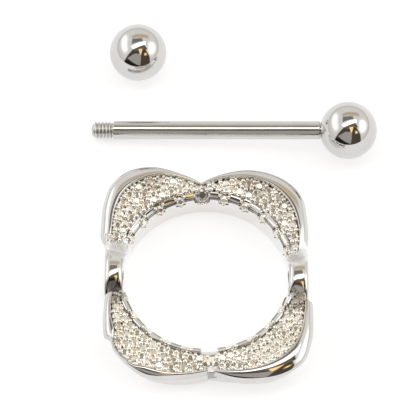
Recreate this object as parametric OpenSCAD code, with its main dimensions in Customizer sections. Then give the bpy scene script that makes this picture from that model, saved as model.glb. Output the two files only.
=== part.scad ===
// Nipple shield: a cast ring with four petals of set stones, the straight
// barbell that holds it, and the ball that screws onto the open end.
// Everything lies on the plane z = 0, as laid out on a table.

/* [Barbell] */
// Diameter of the straight bar
bar_d = 1.6; // [1.2:0.1:2.0]
// Clear length of the bar, from the fixed ball to the shoulder of the thread
bar_len = 18.0; // [14:0.5:22]
// Diameter of both balls
ball_d = 5.0; // [4:0.5:6]
// Length of the thread past the shoulder
thread_len = 1.9; // [1.5:0.1:2.4]
// Distance from one thread crest to the next
thread_pitch = 0.35; // [0.25:0.05:0.5]
// Depth of the thread grooves
thread_depth = 0.17; // [0.1:0.01:0.22]

/* [Shield ring] */
// Radius of the round opening
opening_r = 7.1; // [6.5:0.1:7.5]
// Height of the top of the inner rail
rail_top = 2.8; // [2.5:0.1:3]
// Radius of the round inner rail's section
rail_round = 0.24; // [0.15:0.01:0.3]
// Distance from the ring's middle to the outer face of the right band
right_out = 8.80; // [8.6:0.01:9]
// Distance from the ring's middle to the outer face of the left band
left_out = 8.66; // [8.5:0.01:9]
// Height of the plain bands at their highest
band_top = 2.55; // [2.4:0.05:2.9]
// Radius of the bands' arch, seen from the side
band_arch_r = 2.9; // [2.6:0.1:4]
// Place of the right band's highest point along it
right_apex = 0.15; // [-0.5:0.05:0.8]
// Place of the left band's highest point along it
left_apex = 0.7; // [-0.5:0.05:0.8]
// Diameter of the two holes that the bar slides through
bar_hole_d = 1.7; // [1.65:0.05:1.8]
// Height of the middle of the bar holes
bar_hole_z = 1.05; // [1:0.05:1.1]
// Thickness of the petals' rim, measured down from its crest
rim_drop = 0.75; // [0.5:0.05:0.9]
// Drop from the rim's crest to the bed of the stones
bed_drop = 0.62; // [0.5:0.02:0.7]

/* [Stones] */
// Girdle radius of a stone of the field
stone_r = 0.35; // [0.28:0.01:0.35]
// Girdle radius of a stone in the inner seats
seat_stone_r = 0.34; // [0.28:0.01:0.36]
// Girdle radius of the larger stone in the back notch
notch_stone_r = 0.55; // [0.45:0.01:0.56]

/* [Layout] */
// Middle of the shield ring on the table
ring_x = -2.46; // [-4:0.01:0]
// Middle of the shield ring on the table
ring_y = -6.95; // [-9:0.01:-6]
// Middle of the ball on the bar
fixed_ball_x = 9.93; // [8:0.01:11]
// Middle of the ball on the bar
fixed_ball_y = 6.86; // [5:0.01:9]
// Middle of the loose ball
loose_ball_x = -8.39; // [-10:0.01:-6]
// Middle of the loose ball
loose_ball_y = 14.71; // [14:0.01:18]
// Turn of the bar on the table, from the x axis
bar_turn = -2.5; // [-5:0.1:5]

/* [Hidden] */

silver = [0.80, 0.80, 0.79];
clear_stone = [0.86, 0.88, 0.90];

// Columns of the petal tables
ANGLE = 0;
FIELD_R = 1;
RIM_R = 2;
CREST_Z = 3;

// Each petal from one end to the other, anticlockwise. A row for each section.
// Columns: angle, outer edge of the stones, outer edge of the rim, height of the crest
petals = [
    // back right, from the right band to the back notch
    [[14,    8.25,  8.95, 3.00],
     [22,    8.72,  9.50, 3.25],
     [31,    9.22, 10.15, 3.40],
     [40,    9.64, 10.92, 3.45],
     [49,    9.86, 11.18, 3.45],
     [58,    9.88, 11.04, 3.40],
     [69,    9.62, 10.60, 3.20],
     [80,    9.15,  9.85, 2.90],
     [92.5,  8.55,  8.78, 2.50]],
    // back left, from the back notch to the left band
    [[92.5,  8.55,  8.78, 2.50],
     [102,   9.20,  9.75, 2.90],
     [113,  10.00, 11.02, 3.25],
     [124,  10.35, 11.74, 3.45],
     [134,  10.28, 11.68, 3.50],
     [144,   9.72, 10.90, 3.42],
     [154,   9.02, 10.00, 3.32],
     [162,   8.62,  9.52, 3.15]],
    // front left, from the left band to the front notch. Past the tip its rim is a thin edge.
    [[194,   8.20,  8.88, 3.00],
     [202,   8.75,  9.40, 3.25],
     [210,   9.30, 10.10, 3.40],
     [216,   9.66, 10.62, 3.35],
     [219,  10.12, 10.46, 3.25],
     [223,  10.58, 10.78, 3.20],
     [229,  10.82, 11.02, 3.18],
     [235,  10.80, 11.12, 3.12],
     [241,  10.40, 11.12, 3.08],
     [247,  10.20, 10.86, 3.00],
     [255,   9.85, 10.24, 2.80],
     [263,   9.48,  9.76, 2.65],
     [272.5, 9.02,  9.28, 2.50]],
    // front right, from the front notch to the right band
    [[272.5, 9.02,  9.28, 2.50],
     [282,   9.55, 10.25, 2.90],
     [293,  10.14, 11.12, 3.25],
     [304,  10.50, 11.80, 3.45],
     [314,  10.48, 11.92, 3.50],
     [324,  10.02, 11.15, 3.42],
     [334,   9.38, 10.20, 3.32],
     [342,   8.95,  9.62, 3.15]]];

// Angles between which each petal rises from the band or falls to it
LOW = 0;
HIGH = 1;
back_right_rise = [13.5, 14.3];
back_left_fall = [161.5, 158.5];
front_left_rise = [193.5, 194.3];
front_right_fall = [343.5, 341.5];
back_notch = 92.5;
front_notch = 272.5;

// The inner seats: angle from one to the next, angle of the first, half of the
// angle that one covers at full width, and half of the angle at its foot
seat_pitch = 15;
seat_start = 2.5;
seat_count = 360 / seat_pitch;
seat_flat = 3.2;
seat_edge = 4;
seat_side = 6;
notch_seat_flat = 4.8;
notch_seat_edge = 5.6;

// The narrow ledge on the inner wall, and the round rail behind it
ledge_drop = 0.42;
ledge_z = rail_top - ledge_drop;
ledge_edge = 0.04;
rail_c = opening_r + 0.42;
rail_z = rail_top - rail_round;
rail_side = rail_round * 0.6;
rail_rise = rail_round * 0.8;

// A seat cuts the ledge and the rail with a slope up to the bed. Each is a radius and a
// height, from below.
seat_section = [
    [opening_r, 1.72],
    [opening_r + 0.06, 1.80],
    [opening_r + 0.16, 1.92],
    [opening_r + 0.32, 2.10],
    [opening_r + 0.52, 2.30]];

// The bed of the stones, the bevel up to the rim, and the rim's rounded outside
field_in_r = rail_c + 0.30;
field_in_z = rail_top - 0.10;
stone_lift = 0.28;
bevel_w = 0.14;
bevel_top_w = 0.03;
bevel_top_drop = 0.05;
rim_slope = 80;
rim_steps = [0.12, 0.4, 0.7, 1];
under_rim_in = 0.12;
under_rim_drop = 0.16;
foot_inset = 0.98;
foot_full_w = 0.8;

// The front left corner, where the stones reach the thin edge: its middle, half of its
// angle, how far more it overhangs its foot, and the share by which its rim is thinner
corner_at = 228;
corner_half = 13;
corner_inset = 1.0;
corner_thinner = 0.5;

// The plain bands
band_edge = 0.03;
band_foot_inset = 0.15;
band_foot_h = 0.5;
band_inner_side = 0.4;
band_outer_side = 0.25;
band_low = 1.45;
band_round = 0.5;
band_widest = 1.15;
band_arc = 10;

// Value of a petal table's column at an angle, on a smooth curve through its rows
function row_before(rows, a) =
    max([for (i = [0 : len(rows) - 2]) (a >= rows[i][ANGLE] || i == 0) ? i : 0]);
function slope_at(rows, i, col) =
    let (lo = max(i - 1, 0), hi = min(i + 1, len(rows) - 1))
    (rows[hi][col] - rows[lo][col]) / (rows[hi][ANGLE] - rows[lo][ANGLE]);
function smooth_value(rows, a, col) =
    let (i = row_before(rows, a),
         span = rows[i + 1][ANGLE] - rows[i][ANGLE],
         t = (a - rows[i][ANGLE]) / span,
         t2 = t * t,
         t3 = t2 * t)
    (2 * t3 - 3 * t2 + 1) * rows[i][col]
    + (t3 - 2 * t2 + t) * span * slope_at(rows, i, col)
    + (3 * t2 - 2 * t3) * rows[i + 1][col]
    + (t3 - t2) * span * slope_at(rows, i + 1, col);

// The petal at an angle, or the nearest one, and a value of its table. The right
// band's far half counts from below zero.
right_band_split = 352;
function turn(a) = (a + 720) % 360;
function petal_at(h) =
    h < back_notch ? petals[0] : h < 180 ? petals[1] : h < front_notch ? petals[2] : petals[3];
function petal_value(a, col) =
    let (full = turn(a),
         h = full < right_band_split ? full : full - 360,
         rows = petal_at(h))
    smooth_value(rows, min(max(h, rows[0][ANGLE]), rows[len(rows) - 1][ANGLE]), col);

// How much of the petal's section there is at an angle, from 0 in the bands to 1
function limited(v) = min(max(v, 0), 1);
function ramp(h, limits) = limited((h - limits[LOW]) / (limits[HIGH] - limits[LOW]));
function petal_share(a) =
    let (h = turn(a))
    h < back_notch ? ramp(h, back_right_rise)
    : h < 180 ? ramp(h, back_left_fall)
    : h < front_notch ? ramp(h, front_left_rise)
    : ramp(h, front_right_fall);

// Distance in degrees from the nearest inner seat, and how much of a seat there is
function seat_distance(a) =
    abs((a - seat_start + 720 + seat_pitch / 2) % seat_pitch - seat_pitch / 2);
function at_notch(a) = abs(turn(a) % 180 - back_notch) <= seat_side;
function flat_half(a) = at_notch(a) ? notch_seat_flat : seat_flat;
function edge_half(a) = at_notch(a) ? notch_seat_edge : seat_edge;
function seat_share(a) =
    petal_share(a) * limited((edge_half(a) - seat_distance(a)) / (edge_half(a) - flat_half(a)));

// How much an angle belongs to the front left corner
function corner_share(a) = let (far = (turn(a) - corner_at) / corner_half) max(0, 1 - far * far);

// Height of the stones' girdles over the bed of a petal
function field_z(a, r) =
    let (out_r = petal_value(a, FIELD_R) - bevel_w,
         out_z = petal_value(a, CREST_Z) - bed_drop + stone_lift)
    field_in_z + (out_z - field_in_z) * (r - field_in_r) / (out_r - field_in_r);

function between(p, q, share) = p + (q - p) * share;

// Section of a petal as radius and height, from the inner foot over the top
function rim_point(f, w, c, drop, t) =
    [f + (w - f) * sin(rim_slope * t) / sin(rim_slope),
     c - drop * (1 - cos(rim_slope * t)) / (1 - cos(rim_slope))];
function petal_section(a) =
    let (f = petal_value(a, FIELD_R),
         w = petal_value(a, RIM_R),
         c = petal_value(a, CREST_Z),
         s = seat_share(a),
         drop = rim_drop * (1 - corner_thinner * corner_share(a)),
         inset = foot_inset * limited((w - f) / foot_full_w) + corner_inset * corner_share(a))
    concat(
        [[opening_r, 0],
         between([opening_r, ledge_z - ledge_edge], seat_section[0], s),
         between([rail_c - rail_round, ledge_z], seat_section[1], s),
         between([rail_c - rail_round, rail_z], seat_section[2], s),
         between([rail_c - rail_side, rail_z + rail_rise], seat_section[3], s),
         between([rail_c + rail_side, rail_z + rail_rise], seat_section[4], s),
         [field_in_r, field_in_z - stone_lift],
         [f - bevel_w, c - bed_drop],
         [f - bevel_top_w, c - bevel_top_drop]],
        [for (t = rim_steps) rim_point(f, w, c, drop, t)],
        [[w - under_rim_in, c - drop - under_rim_drop],
         [w - inset, (c - drop) / 2],
         [w - inset, 0]]);

// Section of a plain band: straight outside, round with the opening inside,
// with a low arch across and along
function band_height(a) =
    let (side = cos(a) > 0,
         y = (side ? right_out : -left_out) * tan(a) - (side ? right_apex : left_apex),
         fall = band_arch_r - sqrt(max(band_arch_r * band_arch_r - y * y, 0)))
    max(band_low, band_top - fall);
function band_section(a) =
    let (out = (cos(a) > 0 ? right_out : left_out) * min(1 / max(abs(cos(a)), 0.5), band_widest),
         inner = opening_r + band_edge,
         mid = (inner + out) / 2,
         half = (out - inner) / 2,
         side_top = band_height(a) - band_round)
    concat(
        [[opening_r, 0], [opening_r, side_top - band_inner_side]],
        [for (i = [0 : band_arc], t = 180 * i / band_arc)
            [mid - half * cos(t), side_top + band_round * sin(t)]],
        [[out, side_top - band_outer_side], [out - band_foot_inset, band_foot_h], [out - band_foot_inset, 0]]);

function ring_section(a) =
    let (p = petal_section(a), b = band_section(a), share = petal_share(a))
    [for (i = [0 : len(p) - 1]) between(b[i], p[i], share)];

module shield_body() {
    angles = [for (k = [0 : seat_count - 1], a = seat_start + k * seat_pitch)
              for (step = [-seat_side, -edge_half(a), -flat_half(a), 0,
                           flat_half(a), edge_half(a), seat_side]) a + step];
    n = len(angles);
    m = len(ring_section(0));
    points = [for (a = angles) for (p = ring_section(a)) [p[0] * cos(a), p[0] * sin(a), p[1]]];
    faces = [for (i = [0 : n - 1], j = [0 : m - 1])
             let (i2 = (i + 1) % n, j2 = (j + 1) % m)
             for (f = [[i * m + j, i2 * m + j2, i * m + j2], [i * m + j, i2 * m + j, i2 * m + j2]]) f];
    polyhedron(points = points, faces = faces, convexity = 8);
}

module shield_ring() {
    color(silver)
    translate([ring_x, ring_y, 0])
    difference() {
        shield_body();
        for (side = [0, 180])
            rotate([0, 0, side])
            translate([opening_r / 2, 0, bar_hole_z])
            rotate([0, 90, 0])
            cylinder(d = bar_hole_d, h = opening_r, $fn = 48);
    }
}

// A round cut stone with an eight-sided table, sixteen crown and eight lower facets
module cut_stone(r) {
    ring = function (rad, z, turn) [for (i = [0 : 7]) [rad * cos(45 * i + turn), rad * sin(45 * i + turn), z]];
    points = concat(ring(r * 0.56, r * 0.34, 0), ring(r, 0, 22.5), [[0, 0, -r * 0.52]]);
    faces = concat(
        [[7, 6, 5, 4, 3, 2, 1, 0]],
        [for (i = [0 : 7]) [i, (i + 1) % 8, 8 + i]],
        [for (i = [0 : 7]) [8 + i, (i + 1) % 8, 8 + (i + 1) % 8]],
        [for (i = [0 : 7]) [8 + i, 8 + (i + 1) % 8, 16]]);
    polyhedron(points = points, faces = faces);
}

// Rows of stones on the bed, from the inside. A last row follows the bevel.
ROW_R = 0;
ROW_COUNT = 1;
ROW_TURN = 2;
field_rows = [
    // radius of the row, stones in a full turn, turn of the first stone
    [8.2, 60, 3],
    [9.0, 60, 0],
    [9.75, 64, 0]];
rim_row_count = 60;
seat_row_r = opening_r + 0.15;
seat_stone_z = 2.32;
seat_tilt = 45;
notch_row_r = opening_r + 0.35;
notch_stone_z = 2.62;
notch_tilt = 48;
stone_margin = 0.06;
stone_gap = 0.1;
smallest_stone = 0.2;

// Size and radius of a stone in the row along the bevel, at an angle
function bed_out_r(a) = petal_value(a, FIELD_R) - bevel_w;
function rim_row_size(a) = min(stone_r, (bed_out_r(a) - field_in_r) / 2 - stone_margin);
function rim_row_r(a) = bed_out_r(a) - stone_margin - rim_row_size(a);
function flat_point(r, a) = [r * cos(a), r * sin(a)];
function clear_of_rim_row(a, r) =
    let (pitch = 360 / rim_row_count)
    min([for (k = [floor(a / pitch) - 1 : floor(a / pitch) + 2], b = k * pitch)
        norm(flat_point(rim_row_r(b), b) - flat_point(r, a)) - rim_row_size(b)]) >= stone_r + stone_gap
    && rim_row_r(a) > r;

// One stone at an angle, lying on the bed's slope
module placed_stone(a, r, z, tilt, size) {
    translate([ring_x, ring_y, 0])
    rotate([0, 0, a])
    translate([r, 0, z])
    rotate([0, -tilt, 0])
    cut_stone(size);
}
module bed_stone(a, r, size) {
    slope = atan(field_z(a, field_in_r + 1) - field_z(a, field_in_r));
    placed_stone(a, r, field_z(a, r), slope, size);
}

// All stones of a petal between two angles that lie inside its full section. The back
// notch has a larger stone and the front one has none.
module stone_field(from, to) {
    angle_edge = 2;
    function inside(a) =
        a > from && a < to && petal_share(a - angle_edge) == 1 && petal_share(a + angle_edge) == 1;
    for (k = [0 : seat_count - 1], a = seat_start + k * seat_pitch)
        if (inside(a) && !at_notch(a)) placed_stone(a, seat_row_r, seat_stone_z, seat_tilt, seat_stone_r);
    if (inside(back_notch)) placed_stone(back_notch, notch_row_r, notch_stone_z, notch_tilt, notch_stone_r);
    for (row = field_rows, k = [0 : row[ROW_COUNT] - 1], a = row[ROW_TURN] + k * 360 / row[ROW_COUNT])
        if (inside(a) && clear_of_rim_row(a, row[ROW_R])) bed_stone(a, row[ROW_R], stone_r);
    for (k = [0 : rim_row_count - 1], a = k * 360 / rim_row_count)
        if (inside(a) && rim_row_size(a) > smallest_stone) bed_stone(a, rim_row_r(a), rim_row_size(a));
}

module stones_back_right() {
    color(clear_stone) stone_field(0, 91);
}

module stones_back_left() {
    color(clear_stone) stone_field(91, 180);
}

module stones_front_left() {
    color(clear_stone) stone_field(180, 271);
}

module stones_front_right() {
    color(clear_stone) stone_field(271, 360);
}

// Sizes of the thread: clearance at the outside, plain neck, and plain tip
thread_gap = 0.03;
neck_len = 0.15;
tip_len = 0.25;
tip_taper = 0.15;
thread_r = bar_d / 2 - thread_gap;
root_r = thread_r - thread_depth;
crests = floor((thread_len - tip_len - neck_len) / thread_pitch);
crest_mid = 0.45;

// The bar leans on its fixed ball, so its last thread crest touches the table
ball_r = ball_d / 2;
last_crest = neck_len + (crests - 1 + crest_mid) * thread_pitch;
bar_lean = asin((ball_r - thread_r) / (ball_r + bar_len + last_crest));

// The stub of the bar that sits in the fixed ball, and the gap all round it
stub_len = 1.6;
stub_r = 0.62;
stub_rest = 0.2;
fit_gap = 0.03;
seat_depth = 0.13;
bar_start = 0.05;

// Places its children with the ball's middle at the origin and the bar along -x
module along_bar() {
    translate([fixed_ball_x, fixed_ball_y, ball_r])
    rotate([0, 0, bar_turn])
    rotate([0, -bar_lean, 0])
    children();
}

module threaded_end() {
    outline = concat(
        [[0, 0], [root_r, 0], [root_r, neck_len]],
        [for (i = [0 : crests - 1], p = [[thread_r, crest_mid], [root_r, 1]])
            [p[0], neck_len + (i + p[1]) * thread_pitch]],
        [[root_r, thread_len - tip_len], [root_r - tip_taper, thread_len], [0, thread_len]]);
    rotate_extrude($fn = 48)
    polygon(outline);
}

module barbell_bar() {
    color(silver)
    along_bar()
    rotate([0, -90, 0]) {
        translate([0, 0, ball_r - stub_len + stub_rest])
        cylinder(r = stub_r, h = stub_len, $fn = 48);
        translate([0, 0, ball_r - bar_start])
        cylinder(d = bar_d, h = bar_len + bar_start, $fn = 64);
        translate([0, 0, ball_r + bar_len])
        threaded_end();
    }
}

module fixed_ball() {
    color(silver)
    along_bar()
    difference() {
        sphere(d = ball_d, $fn = 96);
        rotate([0, -90, 0])
        translate([0, 0, ball_r - stub_len])
        cylinder(r = stub_r + fit_gap, h = stub_len + 1, $fn = 48);
        rotate([0, -90, 0])
        translate([0, 0, ball_r - seat_depth])
        cylinder(r = bar_d / 2 + fit_gap, h = 1, $fn = 64);
    }
}

// The loose ball stands on the small flat round its threaded hole
tap_r = 0.66;
tap_len = 3.0;
flat_r = 0.95;
flat_drop = ball_r - sqrt(ball_r * ball_r - flat_r * flat_r);

module loose_ball() {
    color(silver)
    translate([loose_ball_x, loose_ball_y, ball_r - flat_drop])
    difference() {
        sphere(d = ball_d, $fn = 96);
        translate([0, 0, -ball_r - 1])
        cylinder(r = ball_r, h = flat_drop + 1, $fn = 48);
        translate([0, 0, -ball_r - 1])
        cylinder(r = tap_r, h = tap_len + flat_drop + 1, $fn = 48);
    }
}

shield_ring();
stones_back_right();
stones_back_left();
stones_front_left();
stones_front_right();
barbell_bar();
fixed_ball();
loose_ball();
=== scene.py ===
"""A nipple shield, its straight barbell and the loose ball, dressed for a picture.

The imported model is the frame, and each piece here sits where its solid is. Lengths in
the tables are millimetres in that frame, and angles are degrees, anticlockwise from x.
"""

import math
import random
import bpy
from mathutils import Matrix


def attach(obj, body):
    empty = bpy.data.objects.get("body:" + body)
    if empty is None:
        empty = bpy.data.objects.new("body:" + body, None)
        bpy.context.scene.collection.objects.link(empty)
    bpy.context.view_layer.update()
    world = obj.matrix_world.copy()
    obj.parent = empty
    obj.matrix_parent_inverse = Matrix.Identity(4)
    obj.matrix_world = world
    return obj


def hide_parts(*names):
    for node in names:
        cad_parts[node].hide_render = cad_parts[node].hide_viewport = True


bl_info = {
    "name": "Nipple shield",
    "version": (1, 0, 0),
    "blender": (4, 5, 0),
    "location": "3D View > Sidebar > Shield",
    "description": "Builds the cast ring, its stones, the barbell and the stage round the frame",
    "category": "Object",
}

from collections import namedtuple

import bmesh
import bpy
import numpy as np
from mathutils import Matrix, Vector

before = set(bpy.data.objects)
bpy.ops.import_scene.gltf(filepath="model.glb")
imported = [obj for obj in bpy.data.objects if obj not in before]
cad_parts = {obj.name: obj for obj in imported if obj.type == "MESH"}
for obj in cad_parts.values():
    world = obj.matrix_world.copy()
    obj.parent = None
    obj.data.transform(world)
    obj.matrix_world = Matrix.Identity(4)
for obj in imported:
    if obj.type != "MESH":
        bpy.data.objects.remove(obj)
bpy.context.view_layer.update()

MM = 0.001
BODY = "root"

# Middle of the ring, and of the two balls, on the table
RING_AT = Vector((-2.46, -6.95, 0.0))
FIXED_BALL_AT = Vector((9.93, 6.86, 2.5))
LOOSE_BALL_XY = (-8.39, 14.71)
BAR_TURN = -2.5

# Each petal from one end to the other, anticlockwise. A row for each section.
# Columns: angle, outer edge of the stones, outer edge of the rim, height of the crest
ANGLE, FIELD_R, RIM_R, CREST_Z = range(4)
PETALS = (
    # back right
    (
        (14, 8.25, 8.95, 3.00),
        (22, 8.72, 9.50, 3.25),
        (31, 9.22, 10.15, 3.40),
        (40, 9.64, 10.92, 3.45),
        (49, 9.86, 11.18, 3.45),
        (58, 9.88, 11.04, 3.40),
        (69, 9.62, 10.60, 3.20),
        (80, 9.15, 9.85, 2.90),
        (92.5, 8.55, 8.78, 2.50),
    ),
    # back left
    (
        (92.5, 8.55, 8.78, 2.50),
        (102, 9.20, 9.75, 2.90),
        (113, 10.00, 11.02, 3.25),
        (124, 10.35, 11.74, 3.45),
        (134, 10.28, 11.68, 3.50),
        (144, 9.72, 10.90, 3.42),
        (154, 9.02, 10.00, 3.32),
        (162, 8.62, 9.52, 3.15),
    ),
    # front left, with a thin edge past the tip
    (
        (194, 8.20, 8.88, 3.00),
        (202, 8.75, 9.40, 3.25),
        (210, 9.30, 10.10, 3.40),
        (216, 9.66, 10.62, 3.35),
        (219, 10.12, 10.46, 3.25),
        (223, 10.58, 10.78, 3.20),
        (229, 10.82, 11.02, 3.18),
        (235, 10.80, 11.12, 3.12),
        (241, 10.40, 11.12, 3.08),
        (247, 10.20, 10.86, 3.00),
        (255, 9.85, 10.24, 2.80),
        (263, 9.48, 9.76, 2.65),
        (272.5, 9.02, 9.28, 2.50),
    ),
    # front right
    (
        (272.5, 9.02, 9.28, 2.50),
        (282, 9.55, 10.25, 2.90),
        (293, 10.14, 11.12, 3.25),
        (304, 10.50, 11.80, 3.45),
        (314, 10.48, 11.92, 3.50),
        (324, 10.02, 11.15, 3.42),
        (334, 9.38, 10.20, 3.32),
        (342, 8.95, 9.62, 3.15),
    ),
)
BACK_NOTCH = 92.5
FRONT_NOTCH = 272.5
RIGHT_BAND_SPLIT = 352

# Angles at which each petal starts to rise from its band, and is whole
PETAL_RAMPS = ((13.5, 14.3), (161.5, 158.5), (193.5, 194.3), (343.5, 341.5))

# Stones of each petal: piece, node, and the angles it lies between
STONE_FIELDS = (
    ("stones_back_right_cut", "stones_back_right", 0, 91),
    ("stones_back_left_cut", "stones_back_left", 91, 180),
    ("stones_front_left_cut", "stones_front_left", 180, 271),
    ("stones_front_right_cut", "stones_front_right", 271, 360),
)

# The ring's section
OPENING_R = 7.1
RAIL_TOP = 2.8
RAIL_ROUND = 0.24
RAIL_R = OPENING_R + 0.42
RAIL_Z = RAIL_TOP - RAIL_ROUND
LEDGE_Z = RAIL_TOP - 0.42
LEDGE_EDGE = 0.04
FIELD_IN_R = RAIL_R + 0.30
FIELD_IN_Z = RAIL_TOP - 0.10
STONE_LIFT = 0.28
BED_DROP = 0.62
BEVEL_W = 0.14
BEVEL_TOP_W = 0.03
BEVEL_TOP_DROP = 0.05
CREST_ROUND = 0.004
RIM_DROP = 0.75
RIM_SLOPE = math.radians(80)
RIM_STEPS = (0.12, 0.4, 0.7, 1.0)
UNDER_RIM_IN = 0.12
UNDER_RIM_DROP = 0.16
FOOT_INSET = 0.98
FOOT_FULL_W = 0.8

# A rim narrower than the first width has a flatter top, most of all where it is narrower
# by the second
RIM_WIDE = 0.8
RIM_NARROWING = 0.4
NARROW_RIM_FLATTER = 0.5

# The front left corner: its middle, half of its angle, how far more it overhangs its foot,
# and the share by which its rim is thinner
CORNER_AT = 228
CORNER_HALF = 13
CORNER_INSET = 1.0
CORNER_THINNER = 0.5

# The plain bands, whose front ends are fuller, and the holes through them. A band's outside
# is straight, up to a share of its distance and to the least cosine of its angle.
RIGHT_OUT = 8.80
LEFT_OUT = 8.66
BAND_TOP = 2.55
BAND_ARCH_R = 2.9
RIGHT_APEX = 0.15
LEFT_APEX = 0.7
BAND_LOW = 1.45
BAND_ROUND = 0.5
BAND_CROWN = 2.5
BAND_FRONT_CROWN = 0.3
BAND_FRONT_LEN = 1.5
BAND_WIDEST = 1.15
LEAST_COSINE = 0.5
BAND_EDGE = 0.03
BAND_INNER_SIDE = 0.4
BAND_OUTER_SIDE = 0.25
BAND_FOOT_INSET = 0.15
BAND_FOOT_H = 0.5
BAR_HOLE_R = 0.85
BAR_HOLE_Z = 1.05
BAR_HOLE_REACH = 10
BAR_HOLE_SIDES = 48

# Seats in the inner wall, between the rail's bars: half of the angle at full width, and
# half of it where the bars start
SEAT_PITCH = 15
SEAT_START = 2.5
SEAT_FLAT = 3.2
SEAT_EDGE = 4.0
NOTCH_SEAT_FLAT = 4.8
NOTCH_SEAT_EDGE = 5.6
SEAT_R = OPENING_R + 0.15
SEAT_Z = 2.32
SEAT_TILT = 45
# A seat's section from below, as radius and height
SEAT_SECTION = (
    (OPENING_R, 0),
    (OPENING_R, 1.72),
    (OPENING_R + 0.06, 1.80),
    (OPENING_R + 0.16, 1.92),
    (OPENING_R + 0.32, 2.10),
    (OPENING_R + 0.52, 2.30),
    (FIELD_IN_R, FIELD_IN_Z - STONE_LIFT),
)

# The larger stone in the back notch: radius from the ring's middle, height, size
NOTCH_STONE_R = 7.45
NOTCH_STONE_Z = 2.62
NOTCH_STONE_SIZE = 0.55
NOTCH_STONE_TILT = 48
NOTCH_STONE_LEAN = math.radians(10)

# The flat plate outside the front notch
NOTCH_PLATE_AT = FRONT_NOTCH + 1
NOTCH_PLATE_W = 0.8
NOTCH_PLATE_LOW = 1.3
NOTCH_PLATE_TOP = 2.5
NOTCH_PLATE_OUT = 9.45
NOTCH_PLATE_DEPTH = 0.5
NOTCH_PLATE_RISE = 0.13
NOTCH_PLATE_EDGE = 0.05

# The bare hollow of the front notch, its one bead as angle, radius, height and size, and
# the smooth apron in it: its inner end and tip as radius and height, and half their angles
HOLLOW_R = 7.6
HOLLOW_SIZE = 0.72
HOLLOW_BEAD = (FRONT_NOTCH - 1.3, 7.96, 2.46, 0.2)
APRON_IN = (7.62, 2.30)
APRON_IN_HALF = 4.6
APRON_TIP = (8.5, 2.58)
APRON_TIP_HALF = 1.7
APRON_DEPTH = 0.6

# Rows of stones on the bed: radius, stones in a full turn, turn of the first one
FIELD_ROWS = ((8.2, 60, 3), (9.0, 60, 0), (9.75, 64, 0))
RIM_ROW_COUNT = 60
STONE_MARGIN = 0.06
STONE_GAP = 0.1
SMALLEST_STONE = 0.2
END_MARGIN = 2

# Parts of the section in order: its name and the number of steps along it
SECTION_STEPS = (
    ("inner wall", 5),
    ("ledge", 2),
    ("rail from below", 4),
    ("rail inside", 2),
    ("rail top", 9),
    ("rail outside", 6),
    ("bed", 3),
    ("bevel", 2),
    ("crest", 4),
    ("rim near the crest", 5),
    ("rim's middle", 5),
    ("rim's edge", 5),
    ("under the rim", 2),
    ("outer side", 3),
    ("foot", 2),
)
PART_NAMES = [name for name, _ in SECTION_STEPS]
RIM_PARTS = ("rim near the crest", "rim's middle", "rim's edge")
# The parts between which a plain band has its crown
CROWN_START = PART_NAMES.index("rail from below")
CROWN_END = PART_NAMES.index("under the rim")
# Angles on the round rail at which its parts end. Its top is flatter towards one of them.
RAIL_PARTS = ("rail from below", "rail inside", "rail top", "rail outside")
RAIL_ARC = (228, 180, 163.6, 72.4, -40)
RAIL_FACE = math.radians(118)
RAIL_FACE_START = 0.7
RAIL_FLATTER = 0.75
# Degrees from one section of the ring to the next, the sections of a petal's end, and the
# digits that tell two sections apart
RING_STEP = 0.6
RAMP_STEPS = 8
ANGLE_DIGITS = 4


def limited(value):
    """The value, kept between 0 and 1."""
    return min(max(value, 0.0), 1.0)


def between(start, end, share):
    """The point at a share of the way from start to end."""
    return tuple(a + (b - a) * share for a, b in zip(start, end))


def past(stops, index, share):
    """The value at a share of the way from one stop to the next."""
    return stops[index] + (stops[index + 1] - stops[index]) * share


def around(turn, radius, height=0.0):
    """A point about the z axis, by its turn in degrees."""
    t = math.radians(turn)
    return (radius * math.cos(t), radius * math.sin(t), height)


def circle(radius, height, sides, turn=0.0):
    """A ring of points about the z axis, or its one point where the radius is 0."""
    if radius == 0:
        return [(0, 0, height)]
    return [around(360 * k / sides + turn, radius, height) for k in range(sides)]


def smooth_value(rows, angle, column):
    """A column of a petal table at an angle, on a smooth curve through its rows."""
    index = max([0] + [i for i in range(len(rows) - 1) if angle >= rows[i][ANGLE]])

    def slope(i):
        low = max(i - 1, 0)
        high = min(i + 1, len(rows) - 1)
        return (rows[high][column] - rows[low][column]) / (rows[high][ANGLE] - rows[low][ANGLE])

    span = rows[index + 1][ANGLE] - rows[index][ANGLE]
    t = (angle - rows[index][ANGLE]) / span
    t2 = t * t
    t3 = t2 * t
    return (
        (2 * t3 - 3 * t2 + 1) * rows[index][column]
        + (t3 - 2 * t2 + t) * span * slope(index)
        + (3 * t2 - 2 * t3) * rows[index + 1][column]
        + (t3 - t2) * span * slope(index + 1)
    )


def petal_number(angle):
    """Which petal an angle between 0 and 360 belongs to."""
    if angle < BACK_NOTCH:
        return 0
    if angle < 180:
        return 1
    return 2 if angle < FRONT_NOTCH else 3


def petal_value(angle, column):
    """A petal's size at an angle. Past its ends it stays as it is there."""
    turned = angle % 360
    if turned >= RIGHT_BAND_SPLIT:
        turned -= 360
    rows = PETALS[petal_number(turned)]
    return smooth_value(rows, min(max(turned, rows[0][ANGLE]), rows[-1][ANGLE]), column)


def petal_share(angle):
    """How much of a petal's section there is, from 0 in the bands to 1."""
    turned = angle % 360
    low, high = PETAL_RAMPS[petal_number(turned)]
    return limited((turned - low) / (high - low))


def well_inside(angle):
    """Whether an angle is clear of the ends of its petal."""
    return petal_share(angle - END_MARGIN) == 1 and petal_share(angle + END_MARGIN) == 1


def bed_out_r(angle):
    """Outer edge of the bed of the stones."""
    return petal_value(angle, FIELD_R) - BEVEL_W


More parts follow.
